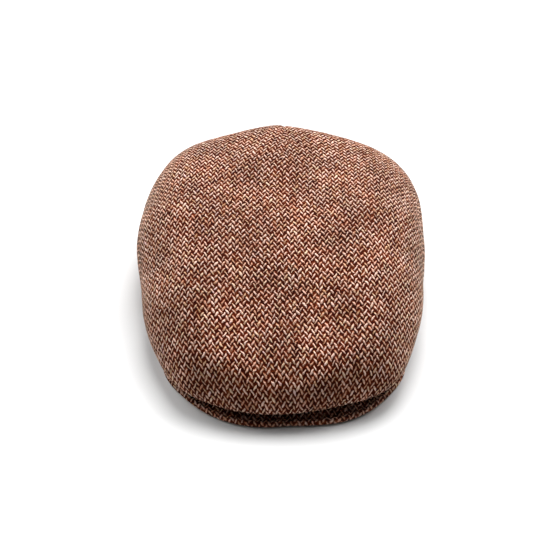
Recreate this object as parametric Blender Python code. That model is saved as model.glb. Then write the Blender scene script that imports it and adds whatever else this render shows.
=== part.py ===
"""An ivy cap of herringbone tweed, lying on a table as it does off the head.

Metres, +Z up. The peak points to -Y, and the sides' lower edge and the peak's outer edge rest on z = 0.
The crown is worked out in upright planes that all pass through one point near the middle of the top.
A plane's turn is its angle from the front in degrees, towards +X, the wearer's left. A place in it is
a reach out from that middle and a height.
"""

import math

import bmesh
import bpy
import numpy as np
from mathutils import Vector

# Driving sizes.
LENGTH = 0.284
MIDDLE_FROM_PEAK = 0.150
CLOTH = 0.0020
SEAM_GAP = 0.0010
PEAK_THICKNESS = 0.0040

# The crown by direction. reach and belly: how far out its widest line is, and how high. shoulder: how
# wide the rounding is between that line and the flat of the top. rim_reach and rim_height: the lower
# edge, which at the front is the forehead line above the peak. rim_angle and rim_run: how steeply the
# cloth comes down to that edge from outside, in degrees, and how far it runs straight. side_height: the
# side panel's height along the cloth.
CROWN_COLUMNS = (
    "turn", "reach", "belly", "shoulder",
    "rim_reach", "rim_height", "rim_angle", "rim_run", "side_height",
)
CROWN_ROWS = (
    (0, 0.1452, 0.0118, 0.008, 0.0900, 0.0217, -15, 0.030, 0.000),
    (15, 0.1436, 0.0118, 0.014, 0.0890, 0.0207, -13, 0.030, 0.000),
    (30, 0.1436, 0.0143, 0.032, 0.0865, 0.0170, -4, 0.024, 0.000),
    (42, 0.1325, 0.0156, 0.050, 0.0855, 0.0115, 14, 0.016, 0.000),
    (52, 0.1238, 0.0184, 0.060, 0.0850, 0.0055, 42, 0.010, 0.006),
    (62, 0.1168, 0.0198, 0.066, 0.0855, 0.0010, 72, 0.006, 0.018),
    (78, 0.1102, 0.0225, 0.070, 0.0870, 0.0000, 88, 0.005, 0.040),
    (95, 0.1133, 0.0245, 0.066, 0.0895, 0.0000, 90, 0.005, 0.052),
    (115, 0.1261, 0.0302, 0.066, 0.0960, 0.0000, 90, 0.005, 0.064),
    (135, 0.1430, 0.0355, 0.041, 0.1030, 0.0000, 90, 0.005, 0.072),
    (155, 0.1398, 0.0352, 0.042, 0.1090, 0.0000, 90, 0.005, 0.076),
    (180, 0.1340, 0.0376, 0.041, 0.1110, 0.0000, 90, 0.005, 0.078),
)

# The top's centre line before its edges are rounded: place from the peak's front edge, and height.
TOP_COLUMNS = ("place", "height")
TOP_ROWS = (
    (0.000, 0.016),
    (0.020, 0.033),
    (0.050, 0.046),
    (0.080, 0.057),
    (0.110, 0.066),
    (0.145, 0.074),
    (0.185, 0.0805),
    (0.225, 0.0893),
    (0.260, 0.0904),
    (0.290, 0.0825),
)

# The peak by direction: its outer edge, and the height of its underside at the forehead.
PEAK_COLUMNS = ("turn", "reach", "root_height")
PEAK_ROWS = (
    (0, 0.1500, 0.0168),
    (12, 0.1510, 0.0160),
    (22, 0.1475, 0.0142),
    (32, 0.1395, 0.0112),
    (42, 0.1292, 0.0070),
    (48, 0.1132, 0.0040),
    (52, 0.0900, 0.0020),
)

# The soft ridge that runs forward from the dart at the back, a little to one side.
RIDGE_START = 0.020
RIDGE_RUN = 0.080
RIDGE_SIDE = -0.0040
RIDGE_SLOPE = 0.205
RIDGE_SOFTNESS = 0.011
CROSSFALL = 0.22

# How far the soft front and back have slid to one side, and over what lengths behind the peak's edge.
FRONT_SWAY = 0.0021
FRONT_SWAY_RUN = 0.090
BACK_SWAY = 0.0036
BACK_SWAY_START = 0.170
BACK_SWAY_RUN = 0.080

# How much the front's fold tilts from side to side, and the turns over which that fades away.
FRONT_TILT = 0.0029
TILT_END_TURN = 90
TILT_TURNS = 45

# How round the shoulder is: 2 is an ellipse, and more is squarer. Then how far the overhang keeps its
# direction: below its widest line as a share of that line's height, and before the rim as a share of
# the distance between them.
SHOULDER_POWER = 2.2
UNDER_BEND = 0.72
RIM_BEND = 0.45

# A height in the head hollow, which every wall of cloth faces away from.
HOLLOW_HEIGHT = 0.03

# How finely the solids are faceted.
TURN_STEP = 4.5
SIDE_START_TURN = 49.5
SIDE_END_TURN = 179.88
TOP_RINGS = 24
SIDE_RINGS = 12
PEAK_TURNS = 28
PEAK_EDGE_STEPS = 4
PEAK_DEPTH_STEPS = 3
CURVE_STEPS = 90
BEND_WEIGHT = 0.028
SAME_POINT = 1e-6
SHARP_EDGE = math.radians(50)

# The cloth's colours, in linear light, and its dullness.
TOP_COLOUR = (0.28, 0.13, 0.08)
SIDE_COLOUR = (0.26, 0.12, 0.075)
PEAK_COLOUR = (0.20, 0.09, 0.055)
WOOL_ROUGHNESS = 0.95


def columns(names, rows):
    """A table's columns by name."""
    return {name: np.array(column, float) for name, column in zip(names, zip(*rows))}


CROWN = columns(CROWN_COLUMNS, CROWN_ROWS)
TOP = columns(TOP_COLUMNS, TOP_ROWS)
PEAK = columns(PEAK_COLUMNS, PEAK_ROWS)


def spline(knots, values, at, flat_ends):
    """A smooth curve through the knots, read at the places given. Its ends are level, or else straight."""
    step = np.diff(knots)
    rise = np.diff(values) / step
    bends = np.zeros((len(knots), len(knots)))
    change = np.zeros(len(knots))
    for i in range(1, len(knots) - 1):
        bends[i, i - 1 : i + 2] = step[i - 1], 2 * (step[i - 1] + step[i]), step[i]
        change[i] = 6 * (rise[i] - rise[i - 1])
    if flat_ends:
        bends[0, :2] = 2 * step[0], step[0]
        bends[-1, -2:] = step[-1], 2 * step[-1]
        change[0], change[-1] = 6 * rise[0], -6 * rise[-1]
    else:
        bends[0, 0] = bends[-1, -1] = 1
    bend = np.linalg.solve(bends, change)
    at = np.clip(at, knots[0], knots[-1])
    i = np.clip(np.searchsorted(knots, at) - 1, 0, len(step) - 1)
    ahead, behind, width = knots[i + 1] - at, at - knots[i], step[i]
    return (
        (bend[i] * ahead**3 + bend[i + 1] * behind**3) / (6 * width)
        + (values[i] / width - bend[i] * width / 6) * ahead
        + (values[i + 1] / width - bend[i + 1] * width / 6) * behind
    )


def crown(name, turn):
    """One of the crown's columns in a direction."""
    return float(spline(CROWN["turn"], CROWN[name], abs(turn), flat_ends=True))


def peak(name, turn):
    """One of the peak's columns in a direction."""
    return float(spline(PEAK["turn"], PEAK[name], abs(turn), flat_ends=False))


def smooth_step(value):
    """Rises smoothly from 0 to 1 as the value does."""
    value = np.clip(value, 0, 1)
    return value * value * (3 - 2 * value)


def world(turn, reach, height):
    """Points of an upright plane in the cap's own frame."""
    angle = math.radians(turn)
    place = MIDDLE_FROM_PEAK - math.cos(angle) * reach
    front = FRONT_SWAY * smooth_step(1 - place / FRONT_SWAY_RUN)
    back = BACK_SWAY * smooth_step((place - BACK_SWAY_START) / BACK_SWAY_RUN)
    return np.stack([math.sin(angle) * reach + front + back, place - LENGTH / 2, height], axis=-1)


def dome(x, y):
    """The top's height before its edges are rounded."""
    centre = spline(TOP["place"], TOP["height"], y + LENGTH / 2, flat_ends=False)
    to_back = smooth_step((y - RIDGE_START) / RIDGE_RUN)
    across = x - RIDGE_SIDE
    ridge = RIDGE_SLOPE * to_back * (np.hypot(across, RIDGE_SOFTNESS) - RIDGE_SOFTNESS)
    return centre - ridge - CROSSFALL * across**2


def bezier(a, b, c, d, steps):
    """Points along a curve from a to d, drawn towards b and c on the way."""
    t = np.linspace(0, 1, steps)[:, None]
    return (1 - t) ** 3 * a + 3 * t * (1 - t) ** 2 * b + 3 * t**2 * (1 - t) * c + t**3 * d


def crown_curve(turn):
    """The crown's outer face in one plane, from the middle of the top to the rim: (reach, height)."""
    reach, belly, shoulder = (crown(name, turn) for name in ("reach", "belly", "shoulder"))
    tilted = smooth_step((TILT_END_TURN - abs(turn)) / TILT_TURNS)
    belly += FRONT_TILT * tilted * math.sin(math.radians(turn))
    out = reach * np.sin(np.linspace(0, math.pi / 2, CURVE_STEPS))
    x, y, _ = world(turn, out, out).T
    edge = np.clip((out - reach + shoulder) / shoulder, 0, 1)
    up = belly + (dome(x, y) - belly) * np.sqrt(1 - edge**SHOULDER_POWER)
    rim = np.array([crown("rim_reach", turn), max(0.0, crown("rim_height", turn))])
    angle = math.radians(crown("rim_angle", turn))
    heading = np.array([-math.cos(angle), -math.sin(angle)])
    widest = np.array([reach, belly])
    bend_end = rim - crown("rim_run", turn) * heading
    across = np.linalg.norm(widest - bend_end)
    down = widest - [0, UNDER_BEND * belly]
    under = bezier(widest, down, bend_end - RIM_BEND * across * heading, bend_end, CURVE_STEPS)
    return np.vstack([np.column_stack([out, up]), under[1:], rim])


def lengths(points):
    """The length along a line of points to each of them."""
    return np.concatenate([[0], np.cumsum(np.linalg.norm(np.diff(points, axis=0), axis=1))])


def spaced(points, start, end, count):
    """Points between two lengths along a curve, closer together where it bends."""
    run = lengths(points)
    heading = np.unwrap(np.arctan2(*np.diff(points, axis=0).T[::-1]))
    bend = np.pad(np.cumsum(np.abs(np.diff(heading))), 1, mode="edge")
    measure = run + BEND_WEIGHT * bend
    first, last = np.interp([start, end], run, measure)
    places = np.interp(np.linspace(first, last, count), measure, run)
    return np.column_stack([np.interp(places, run, column) for column in points.T])


def crown_line(turn, part, count):
    """One plane's points on the top panel, or on a side panel."""
    curve = crown_curve(turn)
    whole = lengths(curve)[-1]
    side_height = max(0.0, crown("side_height", turn))
    seam = whole - side_height
    if part == "side":
        hem = min(crown("rim_run", turn), side_height / 2)
        wall = spaced(curve, seam + SEAM_GAP / 2, whole - hem, count - 1)
        return world(turn, *np.vstack([wall, curve[-1]]).T)
    end = seam - SEAM_GAP / 2 if seam < whole else whole
    return world(turn, *spaced(curve, 0, end, count).T)


def new_object(name, mesh, material):
    """Puts a mesh in the scene as an object of its own."""
    part = bpy.data.objects.new(name, mesh)
    bpy.context.collection.objects.link(part)
    mesh.materials.append(material)
    return part


def sheet(name, rows, closed, material):
    """A wall of cloth whose outer face passes through rows of points, in a ring if closed."""
    mesh = bpy.data.meshes.new(name)
    shape = bmesh.new()
    verts = [[shape.verts.new(point) for point in row] for row in rows]
    pairs = list(zip(verts, verts[1:]))
    if closed:
        pairs.append((verts[-1], verts[0]))
    for left, right in pairs:
        for i in range(len(left) - 1):
            shape.faces.new((left[i], right[i], right[i + 1], left[i + 1]))
    bmesh.ops.remove_doubles(shape, verts=shape.verts, dist=SAME_POINT)
    bmesh.ops.recalc_face_normals(shape, faces=shape.faces)
    inside = Vector((0, 0, HOLLOW_HEIGHT))
    outward = sum(face.normal.dot(face.calc_center_median() - inside) for face in shape.faces)
    if outward < 0:
        bmesh.ops.reverse_faces(shape, faces=shape.faces)
    shape.to_mesh(mesh)
    shape.free()
    mesh.shade_smooth()
    part = new_object(name, mesh, material)
    solid = part.modifiers.new("cloth", "SOLIDIFY")
    solid.thickness = CLOTH
    solid.offset = -1
    solid.use_quality_normals = True
    return part


def tweed(name, colour):
    """Brown woollen cloth."""
    material = bpy.data.materials.new(name)
    material.use_nodes = True
    shader = material.node_tree.nodes["Principled BSDF"]
    shader.inputs["Base Color"].default_value = (*colour, 1)
    shader.inputs["Roughness"].default_value = WOOL_ROUGHNESS
    shader.inputs["Metallic"].default_value = 0
    return material


def make_top_panel():
    """The one-piece top, which turns under at the front."""
    turns = np.arange(-180, 180, TURN_STEP)
    rows = [crown_line(turn, "top", TOP_RINGS) for turn in turns]
    return sheet("top_panel", rows, True, tweed("top_tweed", TOP_COLOUR))


def make_side_panel(name, side):
    """One side, from its point beside the peak to the seam at the centre back."""
    turns = np.append(np.arange(SIDE_START_TURN, 180, TURN_STEP), SIDE_END_TURN)
    rows = [crown_line(turn * side, "side", SIDE_RINGS) for turn in turns]
    return sheet(name, rows, False, tweed(name + "_tweed", SIDE_COLOUR))


def peak_section(turn):
    """The peak's outline in one plane, from the forehead along the underside, round the edge and back."""
    radius = PEAK_THICKNESS / 2
    edge, root = peak("reach", turn), crown("rim_reach", turn)
    rise = peak("root_height", turn) / (edge - root)
    out = np.linspace(root, edge - radius, PEAK_DEPTH_STEPS + 1)
    low = (edge - radius - out) * rise
    around = np.linspace(-math.pi / 2, math.pi / 2, PEAK_EDGE_STEPS + 1)[1:-1]
    reach = np.concatenate([out, edge - radius + radius * np.cos(around), out[::-1]])
    height = np.concatenate([low, radius + radius * np.sin(around), low[::-1] + PEAK_THICKNESS])
    return world(turn, reach, height)


def make_peak():
    """The stiff peak, with a rounded edge, that the crown's front lies on."""
    end = PEAK["turn"][-1]
    mesh = bpy.data.meshes.new("peak")
    shape = bmesh.new()
    sections = [peak_section(turn) for turn in np.linspace(-end, end, PEAK_TURNS + 1)]
    loops = [[shape.verts.new(point) for point in section] for section in sections]
    for left, right in zip(loops, loops[1:]):
        for i in range(len(left)):
            shape.faces.new((left[i - 1], left[i], right[i], right[i - 1]))
    shape.faces.new(loops[0])
    shape.faces.new(loops[-1])
    bmesh.ops.recalc_face_normals(shape, faces=shape.faces)
    shape.to_mesh(mesh)
    shape.free()
    mesh.shade_smooth()
    mesh.set_sharp_from_angle(angle=SHARP_EDGE)
    return new_object("peak", mesh, tweed("peak_tweed", PEAK_COLOUR))


def clear_scene():
    for obj in list(bpy.data.objects):
        bpy.data.objects.remove(obj)


def main():
    clear_scene()
    make_top_panel()
    make_side_panel("left_side_panel", 1)
    make_side_panel("right_side_panel", -1)
    make_peak()


main()
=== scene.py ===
"""An ivy cap of herringbone tweed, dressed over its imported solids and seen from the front, above the floor.

Metres, +Z up. The peak points to -Y, and the sides' lower edge and the peak's outer edge rest on z = 0.
The crown is worked out in upright planes that all pass through one point near the middle of the top.
A plane's turn is its angle from the front in degrees, towards +X, the wearer's left. A place in it is
a reach out from that middle and a height. The tables, and the functions that read them, are the solids'
own. The sag over the peak, the tuck of its edge, the seams, the swells and the bead are the scene's.
"""

import math

import bpy
import numpy as np
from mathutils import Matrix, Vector, noise

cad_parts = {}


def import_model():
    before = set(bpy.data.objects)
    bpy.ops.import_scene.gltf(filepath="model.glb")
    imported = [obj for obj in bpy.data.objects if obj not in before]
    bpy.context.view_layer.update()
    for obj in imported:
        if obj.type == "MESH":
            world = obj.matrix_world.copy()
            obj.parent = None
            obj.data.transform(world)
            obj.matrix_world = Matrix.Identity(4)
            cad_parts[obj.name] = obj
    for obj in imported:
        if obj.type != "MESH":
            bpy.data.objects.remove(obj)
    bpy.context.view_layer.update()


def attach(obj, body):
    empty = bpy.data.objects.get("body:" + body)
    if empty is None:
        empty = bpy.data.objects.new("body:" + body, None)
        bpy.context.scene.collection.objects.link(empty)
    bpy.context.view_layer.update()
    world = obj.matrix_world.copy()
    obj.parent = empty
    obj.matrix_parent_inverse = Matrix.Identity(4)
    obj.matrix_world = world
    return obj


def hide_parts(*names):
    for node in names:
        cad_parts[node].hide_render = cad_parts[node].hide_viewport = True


# Driving sizes, as in the solids.
LENGTH = 0.284
MIDDLE_FROM_PEAK = 0.150
CLOTH = 0.0020
PEAK_THICKNESS = 0.0040

# The crown by direction. reach and belly: how far out its widest line is, and how high. shoulder: how
# wide the rounding is between that line and the flat of the top. rim_reach and rim_height: the lower
# edge, which at the front is the forehead line above the peak. rim_angle and rim_run: how steeply the
# cloth comes down to that edge from outside, in degrees, and how far it runs straight. side_height: the
# side panel's height along the cloth.
CROWN_COLUMNS = (
    "turn", "reach", "belly", "shoulder",
    "rim_reach", "rim_height", "rim_angle", "rim_run", "side_height",
)
CROWN_ROWS = (
    (0, 0.1452, 0.0118, 0.008, 0.0900, 0.0217, -15, 0.030, 0.000),
    (15, 0.1436, 0.0118, 0.014, 0.0890, 0.0207, -13, 0.030, 0.000),
    (30, 0.1436, 0.0143, 0.032, 0.0865, 0.0170, -4, 0.024, 0.000),
    (42, 0.1325, 0.0156, 0.050, 0.0855, 0.0115, 14, 0.016, 0.000),
    (52, 0.1238, 0.0184, 0.060, 0.0850, 0.0055, 42, 0.010, 0.006),
    (62, 0.1168, 0.0198, 0.066, 0.0855, 0.0010, 72, 0.006, 0.018),
    (78, 0.1102, 0.0225, 0.070, 0.0870, 0.0000, 88, 0.005, 0.040),
    (95, 0.1133, 0.0245, 0.066, 0.0895, 0.0000, 90, 0.005, 0.052),
    (115, 0.1261, 0.0302, 0.066, 0.0960, 0.0000, 90, 0.005, 0.064),
    (135, 0.1430, 0.0355, 0.041, 0.1030, 0.0000, 90, 0.005, 0.072),
    (155, 0.1398, 0.0352, 0.042, 0.1090, 0.0000, 90, 0.005, 0.076),
    (180, 0.1340, 0.0376, 0.041, 0.1110, 0.0000, 90, 0.005, 0.078),
)

# The top's centre line before its edges are rounded: place from the peak's front edge, and height.
TOP_COLUMNS = ("place", "height")
TOP_ROWS = (
    (0.000, 0.016),
    (0.020, 0.033),
    (0.050, 0.046),
    (0.080, 0.057),
    (0.110, 0.066),
    (0.145, 0.074),
    (0.185, 0.0805),
    (0.225, 0.0893),
    (0.260, 0.0904),
    (0.290, 0.0825),
)

# The peak by direction: its outer edge, and the height of its underside at the forehead.
PEAK_COLUMNS = ("turn", "reach", "root_height")
PEAK_ROWS = (
    (0, 0.1500, 0.0168),
    (12, 0.1510, 0.0160),
    (22, 0.1475, 0.0142),
    (32, 0.1395, 0.0112),
    (42, 0.1292, 0.0070),
    (48, 0.1132, 0.0040),
    (52, 0.0900, 0.0020),
)

# The soft ridge that runs forward from the dart at the back, a little to one side.
RIDGE_START = 0.020
RIDGE_RUN = 0.080
RIDGE_SIDE = -0.0040
RIDGE_SLOPE = 0.205
RIDGE_SOFTNESS = 0.011
CROSSFALL = 0.22

# How far the soft front and back have slid to one side, and over what lengths behind the peak's edge.
FRONT_SWAY = 0.0021
FRONT_SWAY_RUN = 0.090
BACK_SWAY = 0.0036
BACK_SWAY_START = 0.170
BACK_SWAY_RUN = 0.080

# How much the front's fold tilts from side to side, and the turns over which that fades away.
FRONT_TILT = 0.0029
TILT_END_TURN = 90
TILT_TURNS = 45

# How round the shoulder is, and how far the overhang keeps its direction below and before the rim.
SHOULDER_POWER = 2.2
UNDER_BEND = 0.72
RIM_BEND = 0.45

# The cloth's own sag over the peak, which the solids leave out: how far forward, and at which turns.
FRONT_SAG = 0.0030
SAG_TURN = -13
SAG_TURNS = 10

# How far the peak's cover lies back from the solid's edge at most, and at which turns.
PEAK_TUCK = 0.0018
TUCK_TURN = 5
TUCK_TURNS = 10

# How finely a plane's curve is worked out, how much its bends draw the mesh's rings together, in metres
# a radian, and how far to each side of a point its direction is read.
CURVE_STEPS = 240
BEND_WEIGHT = 0.028
HEADING_STEP = 0.0004

# How finely the cloth is meshed: the top's steps in turn from the front to the back, a side's sections,
# their rings, the rings of a rolled edge, and the steps round the hem.
TOP_TURNS = 168
SIDE_TURNS = 126
TOP_RINGS = 96
SIDE_RINGS = 46
EDGE_RINGS = 6
HEM_STEPS = 4

# The steps in turn draw together at the centre-back seam: how strongly, and for what share of them.
BACK_CROWDING = 1.9
CROWDED_SHARE = 0.65

# Where a side starts at the peak's corner and ends at the centre-back seam, and where the back begins.
SIDE_START_TURN = 49.5
SIDE_END_TURN = 179.9
BACK_START_TURN = 90

# A sewn edge rolls inwards: how deep, over what width, and how far the two pieces stay apart.
SEAM_DIP = 0.0013
SEAM_ROUND = 0.0030
SEAM_GAP = 0.0004

# The groove of the centre-back seam and of the dart above it, and over what length the dart fades away.
BACK_DIP = 0.0008
BACK_WIDTH = 0.0015
DART_LENGTH = 0.086
DART_FADE = 0.040

# The cloth's own unevenness: size of the swells and how high they are, then the height above the floor
# at which they start and the height over which they grow.
SWELLS = ((0.045, 0.00075), (0.016, 0.00022), (0.006, 0.00010))
SWELL_START = 0.004
SWELL_GROWTH = 0.012

# How the weave lies on the top: how much its rows sag, and what the dart takes out of its width.
ROW_SAG = 1.2
DART_TAKE = 0.038
DART_SPREAD = 0.070

# The rows draw together at the back: by what share, from what place behind the middle, and how gently.
BACK_ROWS = 0.30
BACK_ROWS_START = 0.050
BACK_ROWS_RUN = 0.030

# How finely the peak is meshed, and the bead along its edge: its width, and how far the cloth sinks behind.
PEAK_TURNS = 150
PEAK_DEPTH_STEPS = 60
PEAK_EDGE_STEPS = 12
BEAD_WIDTH = 0.0030
BEAD_DIP = 0.0020


def columns(names, rows):
    """A table's columns by name."""
    return {name: np.array(column, float) for name, column in zip(names, zip(*rows))}


CROWN = columns(CROWN_COLUMNS, CROWN_ROWS)
TOP = columns(TOP_COLUMNS, TOP_ROWS)
PEAK = columns(PEAK_COLUMNS, PEAK_ROWS)


def spline(knots, values, at, flat_ends):
    """A smooth curve through the knots, read at the places given. Its ends are level, or else straight."""
    step = np.diff(knots)
    rise = np.diff(values) / step
    bends = np.zeros((len(knots), len(knots)))
    change = np.zeros(len(knots))
    for i in range(1, len(knots) - 1):
        bends[i, i - 1 : i + 2] = step[i - 1], 2 * (step[i - 1] + step[i]), step[i]
        change[i] = 6 * (rise[i] - rise[i - 1])
    if flat_ends:
        bends[0, :2] = 2 * step[0], step[0]
        bends[-1, -2:] = step[-1], 2 * step[-1]
        change[0], change[-1] = 6 * rise[0], -6 * rise[-1]
    else:
        bends[0, 0] = bends[-1, -1] = 1
    bend = np.linalg.solve(bends, change)
    at = np.clip(at, knots[0], knots[-1])
    i = np.clip(np.searchsorted(knots, at) - 1, 0, len(step) - 1)
    ahead, behind, width = knots[i + 1] - at, at - knots[i], step[i]
    return (
        (bend[i] * ahead**3 + bend[i + 1] * behind**3) / (6 * width)
        + (values[i] / width - bend[i] * width / 6) * ahead
        + (values[i + 1] / width - bend[i + 1] * width / 6) * behind
    )


def crown(name, turn):
    """One of the crown's columns in a direction."""
    return float(spline(CROWN["turn"], CROWN[name], abs(turn), flat_ends=True))


def peak(name, turn):
    """One of the peak's columns in a direction."""
    return float(spline(PEAK["turn"], PEAK[name], abs(turn), flat_ends=False))


def smooth_step(value):
    """Rises smoothly from 0 to 1 as the value does."""
    value = np.clip(value, 0, 1)
    return value * value * (3 - 2 * value)


def hump(at, middle, width):
    """1 at the middle, falling smoothly to 0 on both sides."""
    return np.exp(-(((at - middle) / width) ** 2))


def world(turn, reach, height):
    """Points of an upright plane in the cap's own frame."""
    angle = math.radians(turn)
    place = MIDDLE_FROM_PEAK - math.cos(angle) * reach
    front = FRONT_SWAY * smooth_step(1 - place / FRONT_SWAY_RUN)
    back = BACK_SWAY * smooth_step((place - BACK_SWAY_START) / BACK_SWAY_RUN)
    return np.stack([math.sin(angle) * reach + front + back, place - LENGTH / 2, height], axis=-1)


def dome(x, y):
    """The top's height before its edges are rounded."""
    centre = spline(TOP["place"], TOP["height"], y + LENGTH / 2, flat_ends=False)
    to_back = smooth_step((y - RIDGE_START) / RIDGE_RUN)
    across = x - RIDGE_SIDE
    ridge = RIDGE_SLOPE * to_back * (np.hypot(across, RIDGE_SOFTNESS) - RIDGE_SOFTNESS)
    return centre - ridge - CROSSFALL * across**2


def bezier(a, b, c, d, steps):
    """Points along a curve from a to d, drawn towards b and c on the way."""
    t = np.linspace(0, 1, steps)[:, None]
    return (1 - t) ** 3 * a + 3 * t * (1 - t) ** 2 * b + 3 * t**2 * (1 - t) * c + t**3 * d


def crown_curve(turn):
    """The crown's outer face in one plane, from the middle of the top to the rim: (reach, height)."""
    reach, belly, shoulder = (crown(name, turn) for name in ("reach", "belly", "shoulder"))
    reach += FRONT_SAG * hump(turn, SAG_TURN, SAG_TURNS)
    tilted = smooth_step((TILT_END_TURN - abs(turn)) / TILT_TURNS)
    belly += FRONT_TILT * tilted * math.sin(math.radians(turn))
    out = reach * np.sin(np.linspace(0, math.pi / 2, CURVE_STEPS))
    x, y, _ = world(turn, out, out).T
    edge = np.clip((out - reach + shoulder) / shoulder, 0, 1)
    up = belly + (dome(x, y) - belly) * np.sqrt(1 - edge**SHOULDER_POWER)
    rim = np.array([crown("rim_reach", turn), max(0.0, crown("rim_height", turn))])
    angle = math.radians(crown("rim_angle", turn))
    heading = np.array([-math.cos(angle), -math.sin(angle)])
    widest = np.array([reach, belly])
    bend_end = rim - crown("rim_run", turn) * heading
    across = np.linalg.norm(widest - bend_end)
    down = widest - [0, UNDER_BEND * belly]
    under = bezier(widest, down, bend_end - RIM_BEND * across * heading, bend_end, CURVE_STEPS)
    return np.vstack([np.column_stack([out, up]), under[1:], rim])


def lengths(points):
    """The length along a line of points to each of them."""
    return np.concatenate([[0], np.cumsum(np.linalg.norm(np.diff(points, axis=0), axis=1))])


def places_between(points, start, end, count):
    """Lengths along a curve from start to end, closer together where it bends."""
    run = lengths(points)
    heading = np.unwrap(np.arctan2(*np.diff(points, axis=0).T[::-1]))
    bend = np.pad(np.cumsum(np.abs(np.diff(heading))), 1, mode="edge")
    measure = run + BEND_WEIGHT * bend
    first, last = np.interp([start, end], run, measure)
    return np.interp(np.linspace(first, last, count), measure, run)


def edge_places(start, end):
    """Lengths from start to end that draw together at the end."""
    return start + (end - start) * np.sin(np.linspace(0, math.pi / 2, EDGE_RINGS + 1))


def edge_roll(distance, depth, width):
    """How far a sewn edge has rolled in, by the distance from it."""
    near = np.clip(1 - distance / width, 0, 1)
    return depth * (1 - np.sqrt(1 - near**2))


def top_places(curve, seam):
    """The top's places along a curve, out to its sewn edge, and how far each has rolled in."""
    end = seam - SEAM_GAP / 2
    inner_end = end - SEAM_ROUND
    body = places_between(curve, 0, inner_end, TOP_RINGS)
    at = np.concatenate([body, edge_places(inner_end, end)[1:]])
    return at, edge_roll(end - at, SEAM_DIP, SEAM_ROUND)


def side_places(curve, seam, whole):
    """A side's places along a curve, from its sewn edge to the hem, and how far each has rolled in."""
    start = seam + SEAM_GAP / 2
    end = whole - CLOTH / 2
    tight = min(SEAM_ROUND, (end - start) / 2)
    body = places_between(curve, start + tight, end, SIDE_RINGS)
    opening = edge_places(-start - tight, -start)[:0:-1]
    at = np.concatenate([-opening, body])
    return at, edge_roll(at - start, SEAM_DIP, tight)


def swell(point):
    """The cloth's unevenness at a point."""
    return sum(height * noise.noise(Vector(point) / size) for size, height in SWELLS)


class Line:
    """One plane's line of cloth: its places along the curve, and the curve's points and directions."""

    def __init__(self, turn, part):
        curve = crown_curve(turn)
        run = lengths(curve)
        whole = run[-1]

        def read(at):
            return np.column_stack([np.interp(at, run, column) for column in curve.T])

        self.turn = turn
        self.seam = whole - max(0.0, crown("side_height", turn))
        if part == "top":
            self.at, self.rolled = top_places(curve, self.seam)
        else:
            self.at, self.rolled = side_places(curve, self.seam, whole)
        self.from_rim = whole - self.at
        self.points = read(self.at)
        heading = read(self.at + HEADING_STEP) - read(self.at - HEADING_STEP)
        self.heading = heading / np.linalg.norm(heading, axis=1)[:, None]
        self.inward = np.column_stack([self.heading[:, 1], -self.heading[:, 0]])
        self.lift = self.swell_lift()

    def swell_lift(self):
        """How far the swells move each point out of the cloth, in the cap's own frame."""
        angle = math.radians(self.turn)
        inward, up = self.inward.T
        out = -np.column_stack([math.sin(angle) * inward, -math.cos(angle) * inward, up])
        base = world(self.turn, *self.points.T)
        rise = np.array([swell(point) for point in base])
        calm = smooth_step((base[:, 2] - SWELL_START) / SWELL_GROWTH)
        return out * (rise * calm)[:, None]

    def back_groove(self):
        """How far the centre-back seam or the dart pulls the cloth in."""
        if abs(self.turn) < BACK_START_TURN:
            return np.zeros(len(self.at))
        across = self.points[:, 0] * abs(math.sin(math.radians(self.turn)))
        to_dart = smooth_step((self.at - self.seam + DART_LENGTH) / DART_FADE)
        return BACK_DIP * to_dart * hump(across, 0, BACK_WIDTH)

    def outer(self):
        """Points of the outer face."""
        depth = self.rolled + self.back_groove()
        flat = self.points + self.inward * depth[:, None]
        return world(self.turn, *flat.T) + self.lift

    def inner(self):
        """Points of the inner face."""
        flat = self.points + self.inward * CLOTH
        return world(self.turn, *flat.T) + self.lift

    def hem(self):
        """Points round the edge from the outer face to the inner one."""
        middle = self.points[-1] + self.inward[-1] * CLOTH / 2
        around = np.linspace(0, math.pi, HEM_STEPS + 1)[1:-1]
        out = -np.cos(around)[:, None] * self.inward[-1] + np.sin(around)[:, None] * self.heading[-1]
        flat = middle + out * CLOTH / 2
        return world(self.turn, *flat.T) + self.lift[-1]

    def section(self):
        """Points from the start of the outer face round the edge to the start of the inner one."""
        return np.vstack([self.outer(), self.hem(), self.inner()[::-1]])


def back_crowded(start, end, count):
    """Turns from start to end that draw together at the end."""
    even = np.linspace(0, 1, count)
    crowded = 1 - (1 - even) ** BACK_CROWDING
    return start + (end - start) * ((1 - CROWDED_SHARE) * even + CROWDED_SHARE * crowded)


def both_faces(weave):
    """A section's weave: the outer face's, the edge's and the inner face's."""
    edge = np.repeat(weave[-1:], HEM_STEPS - 1, axis=0)
    return np.vstack([weave, edge, weave[::-1]])


def top_weave(line):
    """The weave's coordinates on the top: across and along, in metres from the middle of the top."""
    angle = math.radians(line.turn)
    across, along = line.at * math.sin(angle), line.at * math.cos(angle)
    if abs(line.turn) > BACK_START_TURN:
        side = math.copysign(1, line.turn)
        into_dart = np.clip((line.at - line.seam + DART_LENGTH) / DART_LENGTH, 0, 1)
        spread = smooth_step(1 - np.abs(across) / DART_SPREAD)
        across = across + side * DART_TAKE / 2 * into_dart * spread
    behind = np.clip(-along - BACK_ROWS_START, 0, None)
    begun = np.minimum(behind, BACK_ROWS_RUN)
    along = along - BACK_ROWS * (begun**2 / (2 * BACK_ROWS_RUN) + behind - begun)
    return np.column_stack([across, along + ROW_SAG * across**2])


def top_sections():
    """The top's sections all the way round, and the weave's coordinates on them."""
    half = back_crowded(0, 180, TOP_TURNS + 1)
    lines = [Line(turn, "top") for turn in np.concatenate([-half[:0:-1], half])]
    points = [line.section() for line in lines]
    weave = [both_faces(top_weave(line)) for line in lines]
    return np.array(points), np.array(weave)


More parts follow.
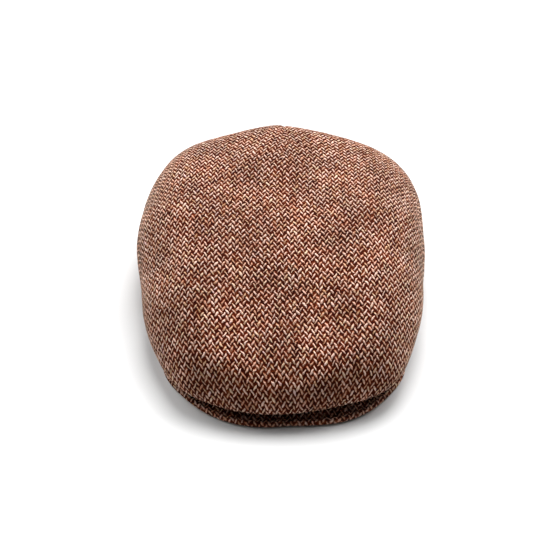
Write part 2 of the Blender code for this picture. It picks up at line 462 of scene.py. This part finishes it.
def side_sections(side):
    """The sections of the side panel towards +X, for 1, or -X, for -1, and the weave's coordinates."""
    turns = back_crowded(SIDE_START_TURN, SIDE_END_TURN, SIDE_TURNS)
    lines = [Line(turn * side, "side") for turn in turns]
    rims = np.array([world(line.turn, *line.points[-1]) for line in lines])
    around = side * (lengths(rims) - lengths(rims)[-1])
    points = np.array([line.section() for line in lines])
    weave = []
    for line, along in zip(lines, around):
        weave.append(both_faces(np.column_stack([np.full(len(line.at), along), line.from_rim])))
    return points[::side], np.array(weave)[::side]


def peak_sections():
    """The peak's outline in each plane, from the forehead along the top, round the edge and back below."""
    radius = PEAK_THICKNESS / 2
    end = PEAK["turn"][-1]
    points, weave = [], []
    for turn in np.linspace(-end, end, PEAK_TURNS + 1):
        root = crown("rim_reach", turn)
        edge = peak("reach", turn) - PEAK_TUCK * hump(turn, TUCK_TURN, TUCK_TURNS)
        rise = peak("root_height", turn) / (edge - root)
        out = np.linspace(root, edge - radius, PEAK_DEPTH_STEPS + 1)
        low = (edge - radius - out) * rise
        sunk = BEAD_DIP * smooth_step((edge - radius - out) / BEAD_WIDTH)
        around = np.linspace(math.pi / 2, -math.pi / 2, PEAK_EDGE_STEPS + 1)[1:-1]
        reach = np.concatenate([out, edge - radius + radius * np.cos(around), out[::-1]])
        height = np.concatenate(
            [low + PEAK_THICKNESS - sunk, radius + radius * np.sin(around), low[::-1]]
        )
        points.append(world(turn, reach, height))
        along = root + lengths(np.column_stack([reach, height]))
        angle = math.radians(turn)
        weave.append(np.column_stack([along * math.sin(angle), along * math.cos(angle)]))
    return np.array(points), np.array(weave)


def grid_rings(turns, steps, poles):
    """Each face's corners in a grid of sections, as (section, step), with triangles at the poles."""
    rings = []
    for near in range(turns - 1):
        far = near + 1
        for step in range(steps):
            ring = [(near, step), (near, step + 1), (far, step + 1), (far, step)]
            if poles and step == 0:
                ring = ring[:3]
            elif poles and step == steps - 1:
                ring = [ring[0], ring[1], ring[3]]
            rings.append(ring)
    return rings


def end_rings(turns, count):
    """The corners of the faces between the outer and the inner face of the first and last section."""
    rings = []
    face_steps = (count - (HEM_STEPS - 1)) // 2 - 1
    for section, order in ((0, -1), (turns - 1, 1)):
        for step in range(face_steps):
            back = count - 1 - step
            ring = [(section, step), (section, back), (section, back - 1), (section, step + 1)]
            rings.append(ring[::order])
    return rings


def grid_object(name, sections, material, poles=False, ends=False):
    """An object from sections of points, with the weave's own coordinates.

    With poles, the sections go all the way round, and each starts at one pole and stops at the other.
    Otherwise each section is a closed loop, and ends closes off the first and the last.
    """
    points, weave = sections
    turns, count = points.shape[:2]
    index = np.arange(turns * count).reshape(turns, count)
    if poles:
        index[-1] = index[0]
        index[:, 0] = index[0, 0]
        index[:, -1] = index[0, -1]
    else:
        weave = np.concatenate([weave, weave[:, :1]], axis=1)
        index = np.concatenate([index, index[:, :1]], axis=1)
    rings = grid_rings(turns, index.shape[1] - 1, poles)
    if ends:
        rings += end_rings(turns, count)
    faces = [[index[place] for place in ring] for ring in rings]
    corners = [weave[place] for ring in rings for place in ring]

    used, compact = np.unique(np.concatenate(faces), return_inverse=True)
    compact = np.split(compact, np.cumsum([len(face) for face in faces])[:-1])
    mesh = bpy.data.meshes.new(name)
    mesh.from_pydata(points.reshape(-1, 3)[used].tolist(), [], [face.tolist() for face in compact])
    layer = mesh.uv_layers.new(name="weave")
    layer.data.foreach_set("uv", np.array(corners, np.float32).ravel())
    mesh.materials.append(material)
    mesh.shade_smooth()
    mesh.validate()
    piece = bpy.data.objects.new(name, mesh)
    bpy.context.collection.objects.link(piece)
    return piece


class Nodes:
    """Adds shader nodes to a material and joins them."""

    def __init__(self, material):
        material.use_nodes = True
        self.tree = material.node_tree
        self.shader = self.tree.nodes["Principled BSDF"]

    def add(self, kind, **settings):
        """A new node with its settings."""
        node = self.tree.nodes.new(kind)
        for name, value in settings.items():
            setattr(node, name, value)
        return node

    def feed(self, socket, value):
        """Joins another node's output to a socket, or sets the socket's own value."""
        if isinstance(value, bpy.types.NodeSocket):
            self.tree.links.new(value, socket)
        else:
            socket.default_value = value

    def surface(self, values):
        """Feeds the surface shader's inputs by name."""
        for name, value in values.items():
            self.feed(self.shader.inputs[name], value)

    def math(self, operation, *values):
        """One step of arithmetic."""
        node = self.add("ShaderNodeMath", operation=operation)
        for socket, value in zip(node.inputs, values):
            self.feed(socket, value)
        return node.outputs[0]

    def scaled(self, value, factor, plus):
        """The value times a factor, plus something."""
        return self.math("MULTIPLY_ADD", value, factor, plus)

    def vector(self, x, y, z=0.0):
        """A vector from its three numbers."""
        node = self.add("ShaderNodeCombineXYZ")
        for socket, value in zip(node.inputs, (x, y, z)):
            self.feed(socket, value)
        return node.outputs[0]

    def split(self, vector):
        """A vector's three numbers."""
        node = self.add("ShaderNodeSeparateXYZ")
        self.feed(node.inputs[0], vector)
        return node.outputs

    def length(self, vector):
        """A vector's length."""
        node = self.add("ShaderNodeVectorMath", operation="LENGTH")
        self.feed(node.inputs[0], vector)
        return node.outputs["Value"]

    def range(self, value, low, high, to_low=0.0, to_high=1.0):
        """Goes smoothly from to_low to to_high as the value goes from low to high."""
        node = self.add("ShaderNodeMapRange", interpolation_type="SMOOTHSTEP")
        for name, given in (
            ("Value", value), ("From Min", low), ("From Max", high),
            ("To Min", to_low), ("To Max", to_high),
        ):
            self.feed(node.inputs[name], given)
        return node.outputs[0]

    def noise(self, vector, size, detail):
        """Smooth noise with features of a size in metres."""
        node = self.add("ShaderNodeTexNoise")
        self.feed(node.inputs["Vector"], vector)
        node.inputs["Scale"].default_value = 1 / size
        node.inputs["Detail"].default_value = detail
        return node

    def randoms(self, vector):
        """Three values from 0 to 1 that jump from one vector to the next."""
        node = self.add("ShaderNodeTexWhiteNoise", noise_dimensions="3D")
        self.feed(node.inputs["Vector"], vector)
        return self.split(node.outputs["Color"])

    def ramp(self, value, stops):
        """A colour read from stops of place and colour."""
        node = self.add("ShaderNodeValToRGB")
        self.feed(node.inputs[0], value)
        elements = node.color_ramp.elements
        while len(elements) < len(stops):
            elements.new(0.5)
        for element, (place, colour) in zip(elements, stops):
            element.position = place
            element.color = (*colour, 1)
        return node.outputs[0]

    def multiplied(self, colour, other):
        """One colour times another. The node's sockets go by number, because their names repeat."""
        node = self.add("ShaderNodeMix", data_type="RGBA", blend_type="MULTIPLY")
        self.feed(node.inputs[0], 1.0)
        self.feed(node.inputs[6], colour)
        self.feed(node.inputs[7], other)
        return node.outputs[2]


# The weave. Grains of pale yarn lie in columns, two to a PAIR, that lean left and right by turns, with
# ROW from one grain to the next. Then a grain's lean, and half its length and half its width: the least,
# and how much more there may be.
PAIR = 0.00508
ROW = 0.00533
GRAIN_LEAN = math.radians(60)
GRAIN_HALF_LENGTH = (0.00238, 0.00084)
GRAIN_HALF_WIDTH = (0.000616, 0.000308)

# How far a grain may lie from its place, across and along. Then the layers of randomness: one for its
# tone and place, one for its size and the yarn's depth beside it, and one for its tint.
GRAIN_SHIFT = (0.00030, 0.0008)
PLACE_LAYER = 0.0
SIZE_LAYER = 7.0
TINT_LAYER = 13.0

# The patterns over the cloth: size, detail, and the layer of noise that each is read from.
STRAY_PATTERN = (0.012, 2.5, 0.0)
WOBBLE_PATTERN = (0.0026, 1.0, 0.0)
MOTTLE_PATTERN = (0.011, 2.0, 0.0)
FIBRE_PATTERN = (0.0012, 2.0, 0.0)
PATCH_PATTERN = (0.030, 2.0, 5.0)
HUE_PATTERN = (0.009, 1.5, 9.0)

# How far the weave strays, and how far its yarns wobble.
STRAY = 0.0019
WOBBLE = 0.0016

# Where a grain's yarn fades into the dark yarn, and where its height ends, in its own half sizes.
GRAIN_FADE = (0.62, 1.22)
GRAIN_FOOT = 1.3

# Where grains and the yarn between them lie on the ramp of yarns: least, and how much more. Then how
# much the mottling and the fibres move them.
PALE_LEVEL = (0.76, 0.26)
DARK_LEVEL = (0.0, 0.24)
MOTTLE = 0.22
FIBRE = 0.8

# How much of the hue comes with each grain and how much with a patch of cloth.
GRAIN_HUE = 0.42
PATCH_HUE = 1.7

# Large soft patches of shade: the noise's range, and the least and the most light.
PATCH_RANGE = (0.3, 0.7)
PATCH_SHADE = (0.82, 1.16)

# The yarns' colours, in linear light, from the darkest to the palest, and tints that single yarns have.
YARNS = (
    (0.00, (0.020, 0.0012, 0.0001)),
    (0.25, (0.073, 0.0080, 0.0010)),
    (0.50, (0.226, 0.0680, 0.0225)),
    (0.75, (0.455, 0.2380, 0.1530)),
    (1.00, (0.680, 0.4800, 0.4050)),
)
TINTS = (
    (0.20, (1.00, 0.88, 0.84)),
    (0.40, (1.00, 1.00, 1.00)),
    (0.60, (1.00, 1.00, 1.00)),
    (0.76, (0.98, 1.02, 0.84)),
    (0.90, (0.97, 0.95, 1.06)),
)

# The surface: the fibres' range and the roughness that goes with it, the yarns' relief and how much of
# it the fibres add, and the wool's sheen and gloss.
FIBRE_RANGE = (0.2, 0.8)
ROUGHNESS = (0.82, 0.98)
YARN_RELIEF = 0.0007
FIBRE_RELIEF = 0.3
SHEEN = 0.26
SHEEN_ROUGHNESS = 0.28
SHEEN_TINT = (1.0, 0.90, 0.72)
GLOSS = 0.03

# Where each material starts in the endless cloth, so that no two show the same yarns.
TOP_START = 0.0
SIDE_START = 0.31
PEAK_START = 0.17


def from_middle(nodes, at, pitch, nudge, shift):
    """The distance from a grain's middle in one direction, after the grain is nudged from its place."""
    middle = nodes.scaled(nudge, shift, -pitch / 2 - shift / 2)
    return nodes.scaled(nodes.math("FRACT", at), pitch, middle)


def grains(nodes, across, along):
    """Distance from a grain's middle, in its own half sizes, and the grain's tone, depth and tint."""
    column_at = nodes.math("DIVIDE", across, PAIR / 2)
    column = nodes.math("FLOOR", column_at)
    odd = nodes.math("FLOORED_MODULO", column, 2.0)
    side = nodes.scaled(odd, -2.0, 1.0)
    row_at = nodes.scaled(odd, 0.5, nodes.math("DIVIDE", along, ROW))
    row = nodes.math("FLOOR", row_at)
    tone, nudge_across, nudge_along = nodes.randoms(nodes.vector(column, row, PLACE_LAYER))
    longer, wider, depth = nodes.randoms(nodes.vector(column, row, SIZE_LAYER))
    tint = nodes.randoms(nodes.vector(column, row, TINT_LAYER))[0]

    out = from_middle(nodes, column_at, PAIR / 2, nudge_across, GRAIN_SHIFT[0])
    down = from_middle(nodes, row_at, ROW, nudge_along, GRAIN_SHIFT[1])
    leant_out = nodes.math("MULTIPLY", side, out)
    steep, shallow = math.sin(GRAIN_LEAN), math.cos(GRAIN_LEAN)
    lengthwise = nodes.scaled(leant_out, shallow, nodes.math("MULTIPLY", down, steep))
    crosswise = nodes.scaled(leant_out, steep, nodes.math("MULTIPLY", down, -shallow))
    shares = []
    for distance, more, (least, extra) in (
        (lengthwise, longer, GRAIN_HALF_LENGTH),
        (crosswise, wider, GRAIN_HALF_WIDTH),
    ):
        shares.append(nodes.math("DIVIDE", distance, nodes.scaled(more, extra, least)))
    return nodes.length(nodes.vector(*shares)), tone, depth, tint


def tweed(name, start):
    """Herringbone tweed: pale grains of yarn over dark yarn, with coloured flecks."""
    material = bpy.data.materials.new(name)
    nodes = Nodes(material)
    place = nodes.split(nodes.add("ShaderNodeUVMap", uv_map="weave").outputs[0])
    across = nodes.math("ADD", place[0], start)
    along = nodes.math("ADD", place[1], start)

    def pattern(size, detail, layer):
        return nodes.noise(nodes.vector(across, along, layer), size, detail)

    stray = nodes.split(pattern(*STRAY_PATTERN).outputs["Color"])
    wobble = nodes.split(pattern(*WOBBLE_PATTERN).outputs["Color"])
    strayed = []
    for axis, at in enumerate((across, along)):
        strayed.append(nodes.scaled(stray[axis], STRAY, nodes.scaled(wobble[axis], WOBBLE, at)))
    away, tone, depth, tint = grains(nodes, *strayed)

    mottle, fibre, patch, hue_patch = (
        pattern(*settings).outputs[0]
        for settings in (MOTTLE_PATTERN, FIBRE_PATTERN, PATCH_PATTERN, HUE_PATTERN)
    )
    uneven = nodes.scaled(mottle, MOTTLE, nodes.scaled(fibre, FIBRE, -(MOTTLE + FIBRE) / 2))
    pale, dark = (
        nodes.math("ADD", nodes.scaled(own, extra, least), uneven)
        for own, (least, extra) in ((tone, PALE_LEVEL), (depth, DARK_LEVEL))
    )
    grain = nodes.range(away, *GRAIN_FADE, 1.0, 0.0)
    level = nodes.scaled(grain, nodes.math("SUBTRACT", pale, dark), dark)
    hue_middle = 0.5 - (GRAIN_HUE + PATCH_HUE) / 2
    hue = nodes.scaled(tint, GRAIN_HUE, nodes.scaled(hue_patch, PATCH_HUE, hue_middle))
    colour = nodes.multiplied(nodes.ramp(level, YARNS), nodes.ramp(hue, TINTS))
    shade = nodes.range(patch, *PATCH_RANGE, *PATCH_SHADE)

    bump = nodes.add("ShaderNodeBump")
    bump.inputs["Strength"].default_value = 1.0
    bump.inputs["Distance"].default_value = YARN_RELIEF
    rise = nodes.range(away, 0.0, GRAIN_FOOT, 1.0, 0.0)
    nodes.feed(bump.inputs["Height"], nodes.scaled(fibre, FIBRE_RELIEF, rise))
    nodes.surface({
        "Base Color": nodes.multiplied(colour, nodes.vector(shade, shade, shade)),
        "Normal": bump.outputs[0],
        "Roughness": nodes.range(fibre, *FIBRE_RANGE, *ROUGHNESS),
        "Sheen Weight": SHEEN,
        "Sheen Roughness": SHEEN_ROUGHNESS,
        "Sheen Tint": (*SHEEN_TINT, 1),
        "Specular IOR Level": GLOSS,
    })
    return material


def make_top():
    """The one-piece top."""
    top = grid_object("top_cloth", top_sections(), tweed("top_tweed", TOP_START), poles=True)
    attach(top, "root")
    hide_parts("top_panel")


def make_sides():
    """The side panels on the wearer's left and right."""
    material = tweed("side_tweed", SIDE_START)
    for side, name in ((1, "left_side"), (-1, "right_side")):
        piece = grid_object(name + "_cloth", side_sections(side), material, ends=True)
        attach(piece, "root")
        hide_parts(name + "_panel")


def make_peak():
    """The cloth that covers the peak on both faces."""
    cover = grid_object("peak_cover", peak_sections(), tweed("peak_tweed", PEAK_START))
    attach(cover, "root")
    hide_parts("peak")


# The floor's reach from the middle, its colour, and how bright the backdrop is as a light and as seen.
FLOOR_REACH = 30.0
FLOOR_COLOUR = (0.66, 0.66, 0.66)
WORLD_LIGHT = 0.02
WORLD_SEEN = 1.0

# The camera: its place, how far it looks down and to the side in degrees, and its focal length in pixels
# of a picture 550 wide.
CAMERA_PLACE = (-0.0121, -0.6106, 0.4982)
CAMERA_DOWN = 38.0
CAMERA_TURN = -0.65
FOCAL_PIXELS = 1000
PICTURE_PIXELS = 550
SENSOR = 36.0

# Lights like large soft boxes far off: name, degrees round from the front towards +X, degrees up, power.
# Then how wide each one looks from the cap.
LIGHTS = (
    ("front", 0, 10, 0.26),
    ("right", 112, 28, 0.4),
    ("right_back", 138, 36, 2.9),
    ("back", 172, 46, 4.8),
    ("left_back", 228, 31, 2.3),
    ("left", 258, 45, 0.6),
)
LIGHT_SPREAD = math.radians(35)


def make_floor():
    """A plain pale floor without gloss."""
    mesh = bpy.data.meshes.new("floor")
    corners = [(x * FLOOR_REACH, y * FLOOR_REACH, 0) for x, y in ((-1, -1), (1, -1), (1, 1), (-1, 1))]
    mesh.from_pydata(corners, [], [(0, 1, 2, 3)])
    floor = bpy.data.objects.new("floor", mesh)
    bpy.context.collection.objects.link(floor)
    material = bpy.data.materials.new("floor_paint")
    Nodes(material).surface(
        {"Base Color": (*FLOOR_COLOUR, 1), "Roughness": 1.0, "Specular IOR Level": 0.0}
    )
    mesh.materials.append(material)


def make_lights():
    """The studio's lights, all aimed at the cap."""
    for name, around, up, power in LIGHTS:
        data = bpy.data.lights.new(name, "SUN")
        data.energy = power
        data.angle = LIGHT_SPREAD
        light = bpy.data.objects.new(name, data)
        bpy.context.collection.objects.link(light)
        turn, rise = math.radians(around), math.radians(up)
        place = Vector((math.sin(turn) * math.cos(rise), -math.cos(turn) * math.cos(rise), math.sin(rise)))
        light.location = place
        light.rotation_euler = (-place).to_track_quat("-Z", "Y").to_euler()


def make_world():
    """A white backdrop that gives only a little light of its own."""
    studio = bpy.data.worlds.new("studio")
    studio.use_nodes = True
    tree = studio.node_tree
    shader = tree.nodes["Background"]
    shader.inputs["Color"].default_value = (1, 1, 1, 1)
    seen = tree.nodes.new("ShaderNodeLightPath").outputs["Is Camera Ray"]
    strength = tree.nodes.new("ShaderNodeMath")
    strength.operation = "MULTIPLY_ADD"
    tree.links.new(seen, strength.inputs[0])
    strength.inputs[1].default_value = WORLD_SEEN - WORLD_LIGHT
    strength.inputs[2].default_value = WORLD_LIGHT
    tree.links.new(strength.outputs[0], shader.inputs["Strength"])
    bpy.context.scene.world = studio


def make_camera():
    """The camera at the photo's angle."""
    data = bpy.data.cameras.new("camera")
    data.sensor_width = SENSOR
    data.lens = SENSOR * FOCAL_PIXELS / PICTURE_PIXELS
    camera = bpy.data.objects.new("camera", data)
    bpy.context.collection.objects.link(camera)
    camera.location = CAMERA_PLACE
    camera.rotation_euler = (math.radians(90 - CAMERA_DOWN), 0, math.radians(CAMERA_TURN))
    bpy.context.scene.camera = camera


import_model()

bpy.context.scene.view_settings.view_transform = "Standard"
bpy.context.scene.view_settings.look = "None"
make_camera()
make_floor()
make_lights()
make_world()
make_top()
make_sides()
make_peak()
